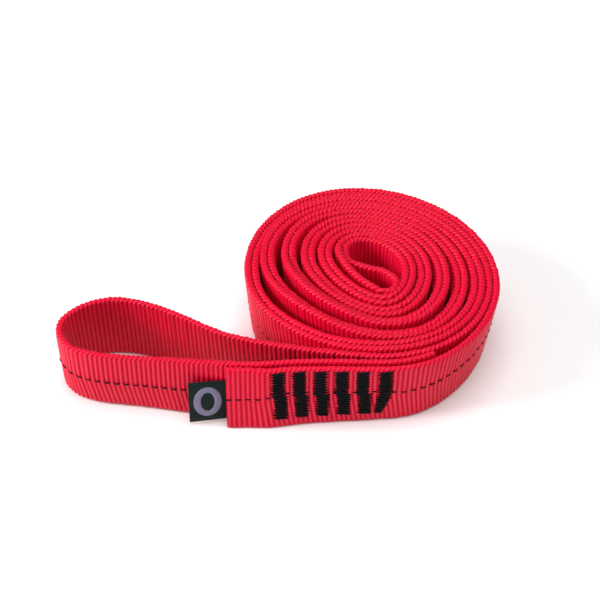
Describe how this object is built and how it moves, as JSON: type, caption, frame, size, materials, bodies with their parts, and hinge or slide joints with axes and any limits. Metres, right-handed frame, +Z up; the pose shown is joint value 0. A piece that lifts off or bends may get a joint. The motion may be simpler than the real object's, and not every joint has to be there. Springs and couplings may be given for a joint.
{
  "type": "sewn webbing sling",
  "caption": "Endless sewn sling of flat tubular red webbing, folded in half and rolled up on its edge, with a free loop, a bar-tacked lap and a woven label tab.",
  "frame": {"origin": "centre of the bounding box, on the surface that the sling's lower edge rests on", "axes": "+X along the free loop towards the coil, +Y from the bar-tacked lap towards the back of the coil, +Z up across the webbing's width"},
  "size_m": [0.1102, 0.0696, 0.02],
  "materials": {
    "webbing": "ribbed tubular nylon webbing, dyed red, slightly shiny filament yarn",
    "tracer_yarn": "black filament yarn, floating in short dashes",
    "stitching": "black bonded sewing thread in dense zigzag rows",
    "label": "woven damask ribbon, dark green, fine horizontal weft",
    "label_emblem": "lilac-grey figure woven into the label ribbon"
  },
  "bodies": {
    "sling": {"webbing": "webbing", "tracer_yarn_coil": "tracer_yarn", "tracer_yarn_bight": "tracer_yarn", "bar_tack_1_needle_thread": "stitching", "bar_tack_1_bobbin_thread": "stitching", "bar_tack_2_needle_thread": "stitching", "bar_tack_2_bobbin_thread": "stitching", "bar_tack_3_needle_thread": "stitching", "bar_tack_3_bobbin_thread": "stitching", "bar_tack_4_needle_thread": "stitching", "bar_tack_4_bobbin_thread": "stitching", "bar_tack_5_needle_thread": "stitching", "bar_tack_5_bobbin_thread": "stitching", "bar_tack_6_needle_thread": "stitching", "bar_tack_6_bobbin_thread": "stitching", "label_root": "label"},
    "label_tab": {"label_tab": "label", "label_emblem": "label_emblem"}
  },
  "joints": [
    {"name": "label_flex", "type": "hinge", "parent": "sling", "child": "label_tab", "pos_m": [-0.01385, -0.03161, 0.0077], "axis": [0, 0, 1], "range_deg": [0, 80], "stiffness_Nm_per_rad": 0.00005}
  ]
}
